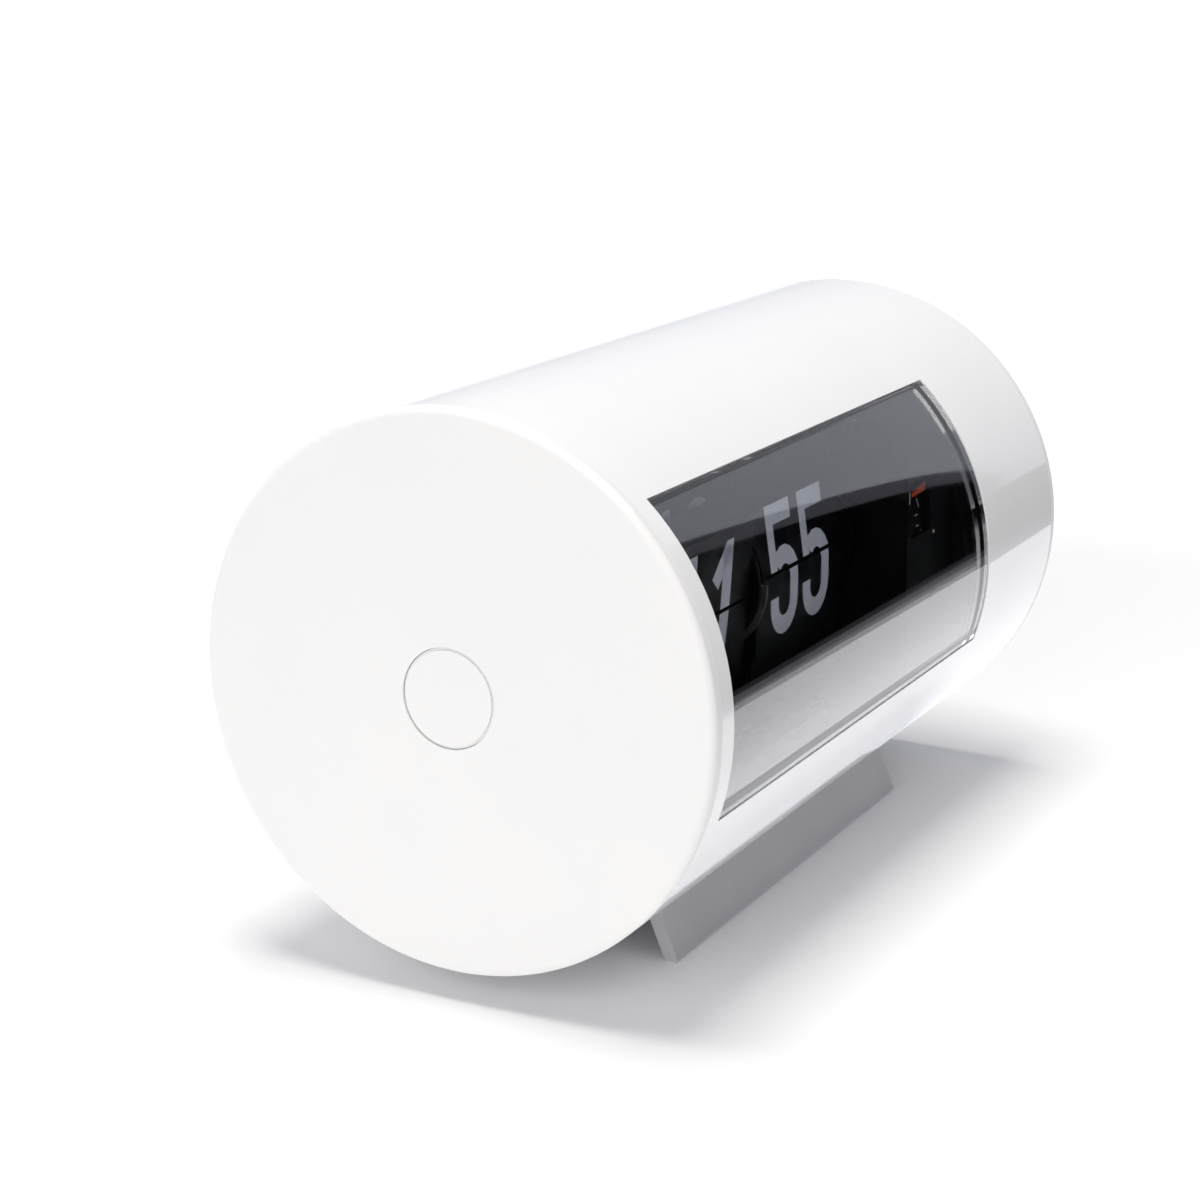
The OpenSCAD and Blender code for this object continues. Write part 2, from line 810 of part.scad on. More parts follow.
module buzzer() {
    color(black) along(board_face, board_face + buzzer_len)
        translate([-1.5 * buzzer_r, (board_top + board_bottom) / 2]) difference() {
            circle(buzzer_r);
            circle(0.15 * buzzer_r);
        }
}

module battery_cell() {
    color([0.2, 0.3, 0.5]) along(cell_x0, cell_x1 - cell_cap_len) translate(bay_at) circle(cell_out);
    color("silver") along(cell_x1 - cell_cap_len - eps, cell_x1) translate(bay_at)
        circle(0.28 * cell_out);
}

// Cradle on the inner side of the cell, with end walls that reach the tube
module battery_cradle() {
    wall_t = 1.5;
    color(black) union() {
        along(bay_x0, bay_x1) translate(bay_at)
            arc_ring(cradle_r, cradle_r - cradle_t, bay_dir - 275, bay_dir - 85);
        for (x = [bay_x0 - wall_t, bay_x1]) along(x, x + wall_t) {
            difference() {
                union() {
                    translate(bay_at) circle(cradle_r);
                    intersection() {
                        circle(slip_r);
                        sector(bay_dir - 32, bay_dir + 40, tube_r);
                    }
                }
                translate(drum_at) circle(shroud_out + 1);
            }
        }
    }
}

module battery_contacts() {
    color("silver") {
        along(bay_x0, bay_x0 + contact_t) translate(bay_at) circle(contact_r);
        along(bay_x0 + contact_t - eps, cell_x0) translate(bay_at) circle(contact_tip_r);
        along(bay_x1 - contact_t, bay_x1) translate(bay_at) circle(contact_r);
        along(cell_x1, bay_x1 - contact_t + eps) translate(bay_at) circle(contact_tip_r);
    }
}

module battery_door() {
    color(white) intersection() {
        along(door_x0 + slip_gap, door_x1 - slip_gap) ring(tube_r, tube_in + 0.1);
        along(door_x0, door_x1) door_outline(slip_gap);
    }
}

body_tube();
left_cap();
right_cap();
window_lens();
foot();
foot_screws();
alarm_button();
button_switch();
left_plate();
middle_plate();
right_plate();
tie_rods();
frame_screws();
upper_shroud();
lower_shroud();
leaf_guide();
scale_mask();
alarm_pointer();
main_shaft();
minute_drum();
minute_leaves();
minute_wheel();
time_knob();
minute_flip_leaf();
hour_drum();
hour_leaves();
hour_flip_leaf();
intermediate_arbor();
intermediate_pinion();
intermediate_wheel();
motor();
motor_pinion();
alarm_drum();
alarm_wheel();
alarm_shaft();
alarm_pinion();
alarm_knob();
circuit_board();
board_parts();
buzzer();
battery_cell();
battery_cradle();
battery_contacts();
battery_door();
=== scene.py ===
import json
import math

import bmesh
import bpy
from mathutils import Matrix, Vector


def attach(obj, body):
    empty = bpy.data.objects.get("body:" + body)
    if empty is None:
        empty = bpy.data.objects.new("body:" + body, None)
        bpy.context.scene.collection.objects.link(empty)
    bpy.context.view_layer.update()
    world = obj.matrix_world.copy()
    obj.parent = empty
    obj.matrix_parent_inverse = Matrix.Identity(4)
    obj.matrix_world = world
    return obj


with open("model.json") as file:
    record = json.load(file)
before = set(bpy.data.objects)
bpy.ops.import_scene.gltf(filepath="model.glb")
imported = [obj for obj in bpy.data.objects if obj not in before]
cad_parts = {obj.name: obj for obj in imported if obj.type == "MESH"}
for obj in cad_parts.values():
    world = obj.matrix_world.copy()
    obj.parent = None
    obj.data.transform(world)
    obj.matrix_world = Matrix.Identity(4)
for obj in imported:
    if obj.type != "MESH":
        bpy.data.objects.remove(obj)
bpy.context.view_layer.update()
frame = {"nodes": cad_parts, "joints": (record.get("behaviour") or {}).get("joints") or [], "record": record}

print("frame loaded:", len(frame["nodes"]), "nodes")

mm = 0.001
# The part of a noise value that is used: it seldom leaves this range
noiseLow, noiseHigh = 0.3, 0.7


# Materials

def linear(code):
    # sRGB hex to linear RGBA
    parts = [int(code[i:i + 2], 16) / 255 for i in (1, 3, 5)]
    return [p / 12.92 if p <= 0.04045 else ((p + 0.055) / 1.055) ** 2.4 for p in parts] + [1]


def addNode(tree, kind, values=None, wires=None, **settings):
    node = tree.nodes.new(kind)
    for name, value in settings.items():
        setattr(node, name, value)
    for name, value in (values or {}).items():
        node.inputs[name].default_value = value
    for name, socket in (wires or {}).items():
        tree.links.new(socket, node.inputs[name])
    return node


def emptyTree(block):
    block.use_nodes = True
    block.node_tree.nodes.clear()
    return block.node_tree


def newShader(name, **values):
    material = bpy.data.materials.new(name)
    tree = emptyTree(material)
    shader = addNode(tree, "ShaderNodeBsdfPrincipled")
    for key, value in values.items():
        shader.inputs[key.replace("_", " ")].default_value = value
    addNode(tree, "ShaderNodeOutputMaterial", wires={"Surface": shader.outputs[0]})
    return material, tree, shader


def noiseOf(tree, size, stretch=(1, 1, 1), detail=2.0):
    # Noise whose grains are about size metres across, from Object coordinates
    place = addNode(tree, "ShaderNodeTexCoord").outputs["Object"]
    if stretch != (1, 1, 1):
        place = addNode(tree, "ShaderNodeMapping", {"Scale": stretch}, {"Vector": place}).outputs[0]
    return addNode(tree, "ShaderNodeTexNoise", {"Scale": 1 / size, "Detail": detail},
                   {"Vector": place}).outputs["Fac"]


def spread(tree, socket, low, high):
    # Maps a noise value to a range
    return addNode(tree, "ShaderNodeMapRange", {"From Min": noiseLow, "From Max": noiseHigh,
                   "To Min": low, "To Max": high}, {"Value": socket}).outputs[0]


def tint(tree, socket, first, second):
    # Maps a noise value to a drift between two colours
    ramp = addNode(tree, "ShaderNodeValToRGB", wires={"Fac": socket})
    for stop, place, colour in zip(ramp.color_ramp.elements, (noiseLow, noiseHigh),
                                   (first, second)):
        stop.position = place
        stop.color = linear(colour)
    return ramp.outputs[0]


def moulded(name, look):
    # Moulded plastic: a faint colour drift, a drift in gloss, and the tool's surface as a bump
    material, tree, shader = newShader(name, IOR=look["ior"],
                                       Specular_IOR_Level=look.get("specular", 0.5))
    drift = noiseOf(tree, look["drift"])
    tree.links.new(tint(tree, drift, look["colour"], look["second"]), shader.inputs["Base Color"])
    gloss = spread(tree, noiseOf(tree, look["drift"] * 0.6), *look["roughness"])
    tree.links.new(gloss, shader.inputs["Roughness"])
    bump = addNode(tree, "ShaderNodeBump", {"Strength": look["bump"], "Distance": look["depth"]},
                   {"Height": noiseOf(tree, look["grain"], detail=3.0)})
    tree.links.new(bump.outputs[0], shader.inputs["Normal"])
    return material


def drawnMetal(name, look):
    # Drawn or turned metal: fine lines along X over a mid roughness
    material, tree, shader = newShader(name, Metallic=1.0)
    lines = noiseOf(tree, look["line"], look["stretch"], 4.0)
    tree.links.new(tint(tree, lines, look["colour"], look["second"]), shader.inputs["Base Color"])
    tree.links.new(spread(tree, lines, *look["roughness"]), shader.inputs["Roughness"])
    bump = addNode(tree, "ShaderNodeBump", {"Strength": 0.2, "Distance": 0.02 * mm},
                   {"Height": lines})
    tree.links.new(bump.outputs[0], shader.inputs["Normal"])
    return material


def clearAcrylic(name):
    # Polished clear moulding: sharp reflections, faint streaks of haze from wiping along X
    material, tree, shader = newShader(name, IOR=1.56, Transmission_Weight=1.0)
    shader.inputs["Base Color"].default_value = linear("#fbfcfc")
    haze = spread(tree, noiseOf(tree, 4 * mm, (0.1, 1, 1), 4.0), 0.0, 0.03)
    tree.links.new(haze, shader.inputs["Roughness"])
    return material


finishes = {
    # Polished ABS, gloss white, with the slight orange peel of a moulding
    "case_gloss_white": moulded("polishedAbsWhite", {
        "colour": "#f9f9f8", "second": "#f6f6f6", "ior": 1.54, "roughness": (0.05, 0.11),
        "drift": 30 * mm, "grain": 2.2 * mm, "bump": 0.06, "depth": 0.05 * mm}),
    # Satin ABS with fine spark grain, drawn a little coarse so that it shows
    "cap_satin_white": moulded("satinAbsWhite", {
        "colour": "#f5f5f3", "second": "#f3f3f2", "ior": 1.54, "roughness": (0.42, 0.5),
        "drift": 25 * mm, "grain": 0.35 * mm, "bump": 0.12, "depth": 0.02 * mm}),
    # The foot is the same ABS with a duller skin. Its grey colour is painted shade, darker than the case,
    # for the shade it sits in under the tube
    "foot_white": moulded("footAbsPaintedShade", {
        "colour": "#cbc9cb", "second": "#c6c4c6", "ior": 1.54, "roughness": (0.3, 0.38),
        "drift": 18 * mm, "grain": 0.5 * mm, "bump": 0.12, "depth": 0.02 * mm}),
    "black_abs": moulded("mattBlackAbs", {
        "colour": "#060607", "second": "#09090b", "ior": 1.54, "roughness": (0.6, 0.7),
        "specular": 0.12,
        "drift": 12 * mm, "grain": 0.3 * mm, "bump": 0.2, "depth": 0.03 * mm}),
    "drum_black": moulded("drumBlackAbs", {
        "colour": "#070708", "second": "#0b0b0d", "ior": 1.54, "roughness": (0.5, 0.6),
        "specular": 0.15,
        "drift": 8 * mm, "grain": 0.4 * mm, "bump": 0.15, "depth": 0.02 * mm}),
    # Matt polyester film with a very fine tooth
    "leaf_black": moulded("leafFilmBlack", {
        "colour": "#050506", "second": "#08080a", "ior": 1.5, "roughness": (0.5, 0.6),
        "specular": 0.15,
        "drift": 10 * mm, "grain": 0.25 * mm, "bump": 0.1, "depth": 0.01 * mm}),
    "natural_nylon": moulded("naturalNylon", {
        "colour": "#dcd9cd", "second": "#d2cfc2", "ior": 1.53, "roughness": (0.35, 0.45),
        "drift": 6 * mm, "grain": 0.4 * mm, "bump": 0.1, "depth": 0.02 * mm}),
    # Nylon in dark grey: the grey is painted shade for the shade this part sits in, not a smoked dye
    "smoked_nylon": moulded("nylonPaintedShade", {
        "colour": "#5b5952", "second": "#524f48", "ior": 1.53, "roughness": (0.35, 0.45),
        "drift": 6 * mm, "grain": 0.4 * mm, "bump": 0.1, "depth": 0.02 * mm}),
    "knob_grey": moulded("knobAbsGrey", {
        "colour": "#b9babb", "second": "#b1b2b4", "ior": 1.54, "roughness": (0.35, 0.42),
        "drift": 6 * mm, "grain": 0.3 * mm, "bump": 0.12, "depth": 0.02 * mm}),
    "orange_plastic": moulded("pointerAbsOrange", {
        "colour": "#dc5a22", "second": "#d0511c", "ior": 1.54, "roughness": (0.3, 0.4),
        "drift": 4 * mm, "grain": 0.3 * mm, "bump": 0.1, "depth": 0.01 * mm}),
    # Solder mask over woven glass
    "green_laminate": moulded("solderMaskGreen", {
        "colour": "#1b5b33", "second": "#17502c", "ior": 1.5, "roughness": (0.25, 0.35),
        "drift": 5 * mm, "grain": 0.5 * mm, "bump": 0.2, "depth": 0.03 * mm}),
    "cell_sleeve": moulded("cellSleeveBlue", {
        "colour": "#27365c", "second": "#223052", "ior": 1.5, "roughness": (0.2, 0.3),
        "drift": 20 * mm, "grain": 1.5 * mm, "bump": 0.08, "depth": 0.02 * mm}),
    "zinc_steel": drawnMetal("zincSteel", {
        "colour": "#c4c6c8", "second": "#a9abae", "roughness": (0.25, 0.4), "line": 0.5 * mm,
        "stretch": (0.05, 1, 1)}),
    "motor_steel": drawnMetal("drawnSteelCan", {
        "colour": "#b4b5b6", "second": "#9c9da0", "roughness": (0.3, 0.45), "line": 0.6 * mm,
        "stretch": (0.04, 1, 1)}),
    "nickel_plate": drawnMetal("nickelStrip", {
        "colour": "#cfc8b8", "second": "#b8b1a2", "roughness": (0.15, 0.3), "line": 0.4 * mm,
        "stretch": (1, 0.1, 1)}),
    "clear_acrylic": clearAcrylic("clearAcrylic"),
}
# Screen printing ink, off white, with a slight mottle
digitInk = moulded("screenInkWhite", {
    "colour": "#e9ecf6", "second": "#e1e5f0", "ior": 1.5, "roughness": (0.4, 0.5),
    "drift": 3 * mm, "grain": 0.3 * mm, "bump": 0.1, "depth": 0.01 * mm})

for part in frame["record"]["subparts"]:
    node = frame["nodes"][part["node"]]
    node.data.materials.clear()
    node.data.materials.append(finishes[part["material_slot"]])
print("materials assigned:", len(finishes))


# New pieces

def meshObject(name, bm, material):
    mesh = bpy.data.meshes.new(name)
    bm.to_mesh(mesh)
    bm.free()
    mesh.materials.append(material)
    made = bpy.data.objects.new(name, mesh)
    bpy.context.scene.collection.objects.link(made)
    return made


def meshPiece(name, bm, material, body):
    piece = meshObject(name, bm, material)
    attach(piece, body)


# Digits are drawn with a flat pen, in mm from the lower left corner of a cell. Each path has a
# pen width, a place and a heading, then moves: a distance, or a turn and its radius
digits = {
    "cell": 11.7, "pitch": 13.7, "splitY": 11.1, "steps": 9, "splitGap": 0.12, "proud": 0.03,
    "weld": 0.001,
    "paths": {
        "0": [(3.3, (1.65, 5.75), 90, [11.1, (-180, 4.1), 11.1, (-180, 4.1)])],
        "1": [(3.5, (7.95, 0), 90, [21.5]), (2.26, (8.57, 21.4), 90, [1.2]),
              (3.3, (3.45, 16.04), 47.8, [7.5])],
        "2": [(3.3, (1.65, 15.6), 90, [1.25, (-180, 4.1), 1.6, (-38, 6), 11.8]),
              (3.3, (0, 1.65), 0, [11.5])],
        "3": [(3.3, (1.65, 15.85), 90, [1, (-180, 4.1), 2.55, (-90, 2.4), 2.4]),
              (3.3, (1.65, 6.75), 270, [1, (180, 4.1), 3.75, (90, 2.4), 2.4])],
        "4": [(3.5, (8.2, 0), 90, [22.6]), (3, (7.9, 22), 246.9, [17]), (3.3, (0, 6.3), 0, [11.7])],
        "5": [(3.5, (0, 20.85), 0, [10.2]), (2.75, (1.375, 19.1), 270, [8]),
              (3.3, (2.61, 12.04), 50, [(-140, 4.1), 3.65, (-180, 4.1), 1.35])],
        "6": [(3.3, (9.85, 16.85), 90, [(180, 4.1), 11.1, (180, 4.1), 3, (180, 4.1)])],
        "7": [(3.5, (0, 20.85), 0, [11.5]), (3.4, (9.8, 19.1), 270, [1.2, (-24, 12), 13.6])],
        "8": [(3.3, (1.65, 5.75), 90, [1.85, (-180, 4.1), 1.85, (-180, 4.1)]),
              (3.3, (1.65, 15), 90, [1.85, (-180, 4.1), 1.85, (-180, 4.1)])],
        "9": [(3.3, (1.65, 5.75), 270, [(180, 4.1), 11.1, (180, 4.1), 3, (180, 4.1)])],
    },
}


def penStroke(bm, width, place, heading, moves):
    # Drags an edge as wide as the pen along straight and turning moves
    angle = math.radians(heading)
    side = Vector((-math.sin(angle), math.cos(angle), 0)) * width / 2
    place = Vector((*place, 0))
    pen = bm.edges.new([bm.verts.new(place + side), bm.verts.new(place - side)])
    for move in moves:
        ahead = Vector((math.cos(angle), math.sin(angle), 0))
        if isinstance(move, tuple):
            turn = math.radians(move[0])
            left = Vector((-ahead.y, ahead.x, 0)) * math.copysign(move[1], turn)
            centre = place + left
            steps = max(2, round(digits["steps"] * abs(move[0]) / 180))
            last = bmesh.ops.spin(bm, geom=[pen, *pen.verts], cent=centre, axis=(0, 0, 1),
                                  angle=turn, steps=steps, use_duplicate=False)["geom_last"]
            pen = next(e for e in last if isinstance(e, bmesh.types.BMEdge))
            place = centre + Matrix.Rotation(turn, 3, "Z") @ -left
            angle += turn
        else:
            made = bmesh.ops.extrude_edge_only(bm, edges=[pen])["geom"]
            tips = [v for v in made if isinstance(v, bmesh.types.BMVert)]
            bmesh.ops.translate(bm, verts=tips, vec=ahead * move)
            pen = next(e for e in made if isinstance(e, bmesh.types.BMEdge)
                       and all(v in tips for v in e.verts))
            place = place + ahead * move


def numberMesh(text, upper=None, sink=0):
    # A number centred on its split line, in mm, facing +Z. upper keeps one half of it, and sink
    # moves that half towards the split before the cut
    bm = bmesh.new()
    for i, symbol in enumerate(text.rjust(2)):
        if symbol == " ":
            continue
        before = set(bm.verts)
        for path in digits["paths"][symbol]:
            penStroke(bm, *path)
        shift = Vector(((i - 0.5) * digits["pitch"] - digits["cell"] / 2,
                        -digits["splitY"] + (sink if upper is False else -sink), 0))
        bmesh.ops.translate(bm, verts=[v for v in bm.verts if v not in before], vec=shift)
    bmesh.ops.remove_doubles(bm, verts=bm.verts, dist=digits["weld"])
    if upper is not None:
        sign = 1 if upper else -1
        bmesh.ops.bisect_plane(bm, geom=[*bm.verts, *bm.edges, *bm.faces],
                               plane_co=(0, sign * digits["splitGap"], 0),
                               plane_no=(0, sign, 0), clear_inner=True)
    bm.normal_update()
    bmesh.ops.reverse_faces(bm, faces=[f for f in bm.faces if f.normal.z < 0])
    return bm


def joinInto(target, source, matrix):
    bmesh.ops.transform(source, matrix=matrix, verts=source.verts)
    mesh = bpy.data.meshes.new("scratch")
    source.to_mesh(mesh)
    source.free()
    target.from_mesh(mesh)
    bpy.data.meshes.remove(mesh)


# The leaves as the CAD places them, in mm: hinge angle on the drum and direction of each leaf.
# The sinks move the numbers of the first and last hidden leaf, which show past the leaf in front
leafPack = {
    "hinge": 10.5, "thick": 0.2, "skim": 0.02, "firstSink": 4.62, "lastSink": 3.0,
    "hour": {"middle": -43.7, "count": 24, "shown": 11, "flip": (-5.9, 86), "low": (-8.9, -96),
             "first": (19.6, 94.6), "last": (334.6, 260.6)},
    "minute": {"middle": -3.4, "count": 60, "shown": 55, "flip": (1.5, 98), "low": (-1.5, -90),
               "first": (27, 102), "last": (342, 268)},
}
drumAxis = Vector(next(j for j in frame["joints"] if j["name"] == "minute_drum_spin")["pos_m"])


def leafMatrix(middle, spot, front, faceAt):
    # Puts a number half on a leaf. front is the side that shows while the leaf stands up
    hingeDeg, direction = spot
    hinge = math.radians(hingeDeg)
    lie = math.radians(direction)
    along = Vector((0, -math.cos(lie), math.sin(lie)))
    outward = Vector((0, -math.sin(lie), -math.cos(lie)))
    if not front:
        outward = -outward
    place = drumAxis.copy()
    place.x = middle * mm
    place += Vector((0, -math.cos(hinge), math.sin(hinge))) * leafPack["hinge"] * mm
    place += outward * faceAt * mm
    up = along if front else -along
    matrix = Matrix.Identity(4)
    for column, axis in enumerate((Vector((1, 0, 0)), up, outward)):
        for row in range(3):
            matrix[row][column] = axis[row] * mm
    matrix.translation = place
    return matrix


def numberOf(kind, value):
    # Minutes show two digits, hours drop the leading zero
    value %= leafPack[kind]["count"]
    return f"{value:02d}" if kind == "minute" else str(value)


def printLeaves(kind):
    look = leafPack[kind]
    middle = look["middle"]
    proud = digits["proud"]
    thick = leafPack["thick"]
    skim = leafPack["skim"]
    shown = look["shown"]

    flip = bmesh.new()
    joinInto(flip, numberMesh(numberOf(kind, shown), True),
             leafMatrix(middle, look["flip"], True, proud - skim))
    joinInto(flip, numberMesh(numberOf(kind, shown + 1), False),
             leafMatrix(middle, look["flip"], False, thick + skim + proud))
    meshPiece(kind + "_flip_digits", flip, digitInk, kind + "_flip")

    drum = bmesh.new()
    joinInto(drum, numberMesh(numberOf(kind, shown), False),
             leafMatrix(middle, look["low"], False, proud - skim))
    hidden = look["count"] - 2
    for i in range(hidden):
        spot = [a + (b - a) * i / (hidden - 1) for a, b in zip(look["first"], look["last"])]
        for front in (True, False):
            sink = leafPack["firstSink"] if front and i == 0 else 0
            if not front and i == hidden - 1:
                sink = leafPack["lastSink"]
            text = numberOf(kind, shown + 1 + i + (0 if front else 1))
            joinInto(drum, numberMesh(text, front, sink),
                     leafMatrix(middle, spot, front, thick / 2 + proud))
    meshPiece(kind + "_digits", drum, digitInk, kind + "_drum")


for kind in ("hour", "minute"):
    printLeaves(kind)
print("leaves printed")


# The alarm scale, in mm: small numbers and ticks round the alarm drum
alarmScale = {"radius": 21.4, "numberX": 25.3, "tickX": 24.2, "size": 0.075, "hours": 24,
              "ticksPerHour": 3, "tick": (1.5, 0.16), "turn": 0.3, "proud": 0.02}


def drumMatrix(x, degrees, radius, scale):
    # Lies flat on a cylinder about the drum axis, with text upright when it faces front
    matrix = Matrix.Translation(Vector((x * mm, drumAxis.y, drumAxis.z)))
    matrix @= Matrix.Rotation(-math.radians(degrees), 4, "X")
    matrix @= Matrix.Translation(Vector((0, -radius * mm, 0)))
    matrix @= Matrix.Rotation(math.radians(90), 4, "X")
    return matrix @ Matrix.Scale(scale * mm, 4)


def flatBar(bm, width, height, matrix):
    made = bmesh.ops.create_grid(bm, x_segments=1, y_segments=1, size=0.5)["verts"]
    bmesh.ops.scale(bm, vec=(width, height, 1), verts=made)
    bmesh.ops.transform(bm, matrix=matrix, verts=made)


def printAlarmDrum():
    look = alarmScale
    out = look["radius"] + look["proud"]
    bm = bmesh.new()
    for hour in range(look["hours"]):
        at = 360 * hour / look["hours"] + look["turn"]
        joinInto(bm, numberMesh(str(hour)), drumMatrix(look["numberX"], at, out, look["size"]))
        for tick in range(1, look["ticksPerHour"]):
            turn = at + 360 * tick / look["hours"] / look["ticksPerHour"]
            flatBar(bm, *look["tick"], drumMatrix(look["tickX"], turn, out, 1))
    meshPiece("alarm_digits", bm, digitInk, "alarm_drum")


printAlarmDrum()


# Two small prints on the flat face of the scale mask, in mm: a bar beside the slot and a dot
maskPrint = {"face": 36.22, "bar": (16.5, 66.5), "barSize": (0.4, 2.1), "dot": (28.97, 58.2),
             "dotRadius": 0.35, "dotSegments": 20}


def printMask():
    look = maskPrint

    def place(spot):
        matrix = Matrix.Translation(Vector((spot[0], -look["face"], spot[1])) * mm)
        return matrix @ Matrix.Rotation(math.radians(90), 4, "X") @ Matrix.Scale(mm, 4)

    bm = bmesh.new()
    flatBar(bm, *look["barSize"], place(look["bar"]))
    bmesh.ops.create_circle(bm, cap_ends=True, segments=look["dotSegments"],
                            radius=look["dotRadius"], matrix=place(look["dot"]))
    meshPiece("mask_print", bm, digitInk, "case")


printMask()
print("alarm scale printed")


# Grip ribs on the battery door, in mm and degrees
doorGrip = {"axis": 51.0, "radius": 46.0, "middle": -15.0, "length": 16.0, "height": 0.35,
            "width": 0.9, "first": 196.0, "step": 3.2, "count": 4, "rounding": 0.25}


def doorRibs():
    look = doorGrip
    bm = bmesh.new()
    for i in range(look["count"]):
        made = bmesh.ops.create_cube(bm, size=1)["verts"]
        bmesh.ops.scale(bm, vec=(look["length"] * mm, look["height"] * 2 * mm, look["width"] * mm),
                        verts=made)
        turn = -math.radians(look["first"] + look["step"] * i)
        matrix = Matrix.Translation(Vector((look["middle"] * mm, 0, look["axis"] * mm)))
        matrix @= Matrix.Rotation(turn, 4, "X")
        matrix @= Matrix.Translation(Vector((0, -look["radius"] * mm, 0)))
        bmesh.ops.transform(bm, matrix=matrix, verts=made)
    bmesh.ops.bevel(bm, geom=bm.edges[:], offset=look["rounding"] * mm, segments=3,
                    profile=0.5, affect="EDGES", material=-1)
    meshPiece("door_grip", bm, finishes["case_gloss_white"], "door")


doorRibs()
print("new pieces made")


# Stage: floor, light and camera, in metres and watts
studio = {
    "floorSize": 12.0, "floorColour": "#f8f8f8", "liftNear": 0.03, "liftFar": 1.2,
    "liftRange": (0.25, 1.0), "liftGloss": 0.55, "liftColour": "#eef0fa",
    "worldLight": 0.46, "worldGloss": 0.72, "worldColour": "#f1f4ff", "lampColour": "#fffbf5",
    "keyPlace": (-0.1, 0.02, 1.5), "keySize": 0.7, "keyPower": 15.5,
    "fillPlace": (-1.6, -0.1, 0.7), "fillSize": 1.0, "fillPower": 7.5,
    "lampTarget": (0, 0, 0.05),
}
photoCamera = {"place": (-0.40454, -0.19767, 0.16921), "forward": (0.85428, 0.44995, -0.26029),
               "lens": 76.5, "sensor": 36.0}


def makeFloor():
    # Pale paper. Only the camera and the reflections see its glow, which grows with distance
    material = bpy.data.materials.new("paperSweep")
    tree = emptyTree(material)
    paper = addNode(tree, "ShaderNodeBsdfDiffuse", {"Color": linear(studio["floorColour"])})
    rays = addNode(tree, "ShaderNodeLightPath")
    place = addNode(tree, "ShaderNodeTexCoord").outputs["Object"]
    away = addNode(tree, "ShaderNodeVectorMath", wires={0: place}, operation="LENGTH")
    near, far = studio["liftRange"]
    whiter = addNode(tree, "ShaderNodeMapRange", {"From Min": near, "From Max": far,
                     "To Min": studio["liftNear"], "To Max": studio["liftFar"]},
                     {"Value": away.outputs["Value"]})
    gloss = addNode(tree, "ShaderNodeMath", {1: studio["liftGloss"]},
                    {0: rays.outputs["Is Glossy Ray"]}, operation="MULTIPLY")
    lift = addNode(tree, "ShaderNodeMath", operation="MULTIPLY_ADD", wires={
        0: rays.outputs["Is Camera Ray"], 1: whiter.outputs[0], 2: gloss.outputs[0]})
    glow = addNode(tree, "ShaderNodeEmission", {"Color": linear(studio["liftColour"])},
                   {"Strength": lift.outputs[0]})
    both = addNode(tree, "ShaderNodeAddShader", wires={0: paper.outputs[0], 1: glow.outputs[0]})
    addNode(tree, "ShaderNodeOutputMaterial", wires={"Surface": both.outputs[0]})
    bm = bmesh.new()
    bmesh.ops.create_grid(bm, x_segments=1, y_segments=1, size=studio["floorSize"] / 2)
    meshObject("floor", bm, material)


def makeWorld():
    # The camera sees plain white, the clock a dimmer, slightly cool room. Its reflections see that room
    # brighter than the light it gives, a painted reflection
    world = bpy.data.worlds.new("paleRoom")
    bpy.context.scene.world = world
    tree = emptyTree(world)
    rays = addNode(tree, "ShaderNodeLightPath")
    strength = addNode(tree, "ShaderNodeMapRange", {"To Min": studio["worldLight"],
                       "To Max": studio["worldGloss"]}, {"Value": rays.outputs["Is Glossy Ray"]})
    room = addNode(tree, "ShaderNodeBackground", {"Color": linear(studio["worldColour"])},
                   {"Strength": strength.outputs[0]})
    white = addNode(tree, "ShaderNodeBackground", {"Color": (1, 1, 1, 1)})
    both = addNode(tree, "ShaderNodeMixShader", wires={
        0: rays.outputs["Is Camera Ray"], 1: room.outputs[0], 2: white.outputs[0]})
    addNode(tree, "ShaderNodeOutputWorld", wires={"Surface": both.outputs[0]})


def areaLight(name, place, size, power):
    light = bpy.data.lights.new(name, "AREA")
    light.shape = "SQUARE"
    light.size = size
    light.energy = power
    light.color = linear(studio["lampColour"])[:3]
    lamp = bpy.data.objects.new(name, light)
    lamp.location = place
    aim = Vector(studio["lampTarget"]) - Vector(place)
    lamp.rotation_euler = aim.to_track_quat("-Z", "Y").to_euler()
    bpy.context.scene.collection.objects.link(lamp)
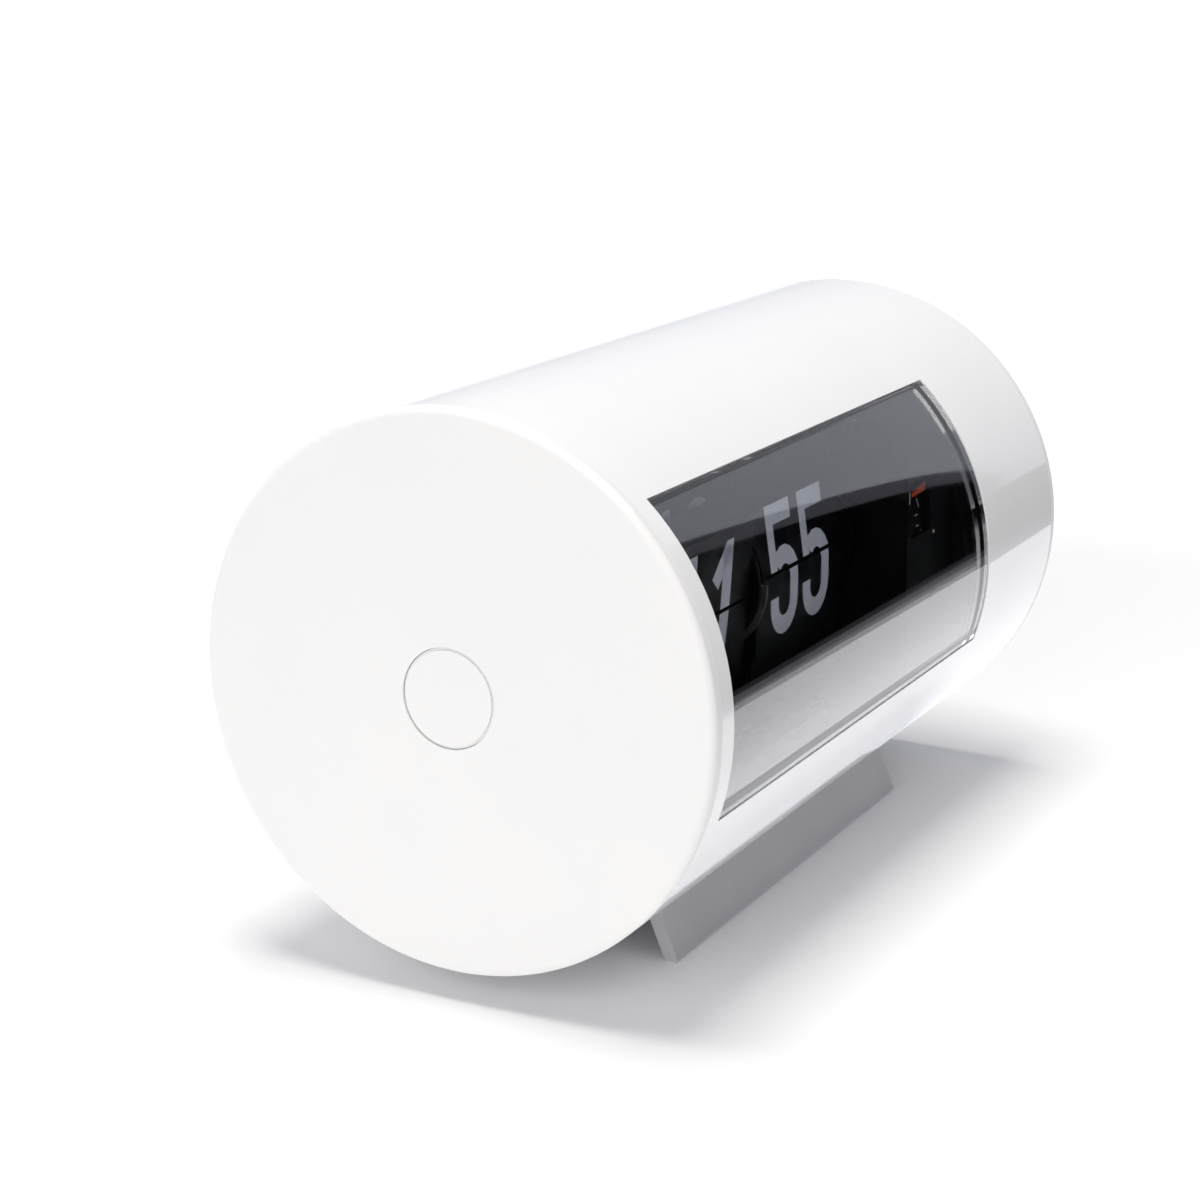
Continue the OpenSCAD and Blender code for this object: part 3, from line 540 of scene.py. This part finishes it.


# Cards that glow with a fixed colour and that only the reflections see (with shades, the diffuse light too):
# painted reflections of a dark room and its edges. Each is a strip between two rows of points, in metres
cards = {
    # A painted reflection of the dark room in front of the clock: above the floor, then as a wall from
    # azimuth -80
    "darkFloor": {"colour": "#060607", "rows": [[(-1.2, -0.419, 0.002), (3, 0.379, 0.002)],
                                                [(-1.2, -4, 0.002), (3, -4, 0.002)]]},
    # Grey glowing strips: a painted reflection of a soft edge between the dark floor and the pale floor
    "floorEdge": {"colour": "#66666c", "rows": [[(-1.2, -0.401, 0.003), (3, 0.397, 0.003)],
                                                [(-1.2, -0.419, 0.003), (3, 0.379, 0.003)]]},
    "floorFade": {"colour": "#a8a8b0", "rows": [[(-1.2, -0.37, 0.003), (3, 0.4, 0.003)],
                                                [(-1.2, -0.401, 0.003), (3, 0.397, 0.003)]]},
    "darkWall": {"colour": "#060608", "azimuths": (-80, -65, -50, -35, -22.6), "radius": 3.0,
                 "heights": (-0.2, 2.6), "shades": True},
    # A grey glowing strip: a painted reflection of the dark wall's edge
    "wallEdge": {"colour": "#6a6a74", "rows": [[(2.716, -1.153, 0.2), (2.724, -1.134, 0.2)],
                                               [(2.588, -1.417, 2.6), (2.724, -1.134, 2.6)]]},
}


def makeCard(name, look):
    bm = bmesh.new()
    rows = look.get("rows")
    if rows is None:
        spots = [(math.cos(math.radians(a)) * look["radius"], math.sin(math.radians(a))
                  * look["radius"]) for a in look["azimuths"]]
        rows = [[(x, y, height) for x, y in spots] for height in look["heights"]]
    low, high = [[bm.verts.new(spot) for spot in row] for row in rows]
    for i in range(len(low) - 1):
        bm.faces.new((low[i], low[i + 1], high[i + 1], high[i]))
    material = bpy.data.materials.new(name + "Cloth")
    tree = emptyTree(material)
    # Each card glows with its own fixed colour, a painted reflection, not a lit cloth
    reflectionGlow = addNode(tree, "ShaderNodeEmission", {"Color": linear(look["colour"])})
    addNode(tree, "ShaderNodeOutputMaterial", wires={"Surface": reflectionGlow.outputs[0]})
    card = meshObject(name, bm, material)
    card.visible_camera = False
    card.visible_diffuse = look.get("shades", False)
    card.visible_shadow = False


def makeCamera():
    lensData = bpy.data.cameras.new("photoCamera")
    lensData.lens = photoCamera["lens"]
    lensData.sensor_width = photoCamera["sensor"]
    camera = bpy.data.objects.new("photoCamera", lensData)
    camera.location = photoCamera["place"]
    camera.rotation_euler = Vector(photoCamera["forward"]).to_track_quat("-Z", "Y").to_euler()
    bpy.context.scene.collection.objects.link(camera)
    bpy.context.scene.camera = camera


makeFloor()
makeWorld()
areaLight("keyLight", studio["keyPlace"], studio["keySize"], studio["keyPower"])
areaLight("fillLight", studio["fillPlace"], studio["fillSize"], studio["fillPower"])
for name, look in cards.items():
    makeCard(name, look)
makeCamera()
bpy.context.scene.view_settings.view_transform = "Standard"
print("stage set")
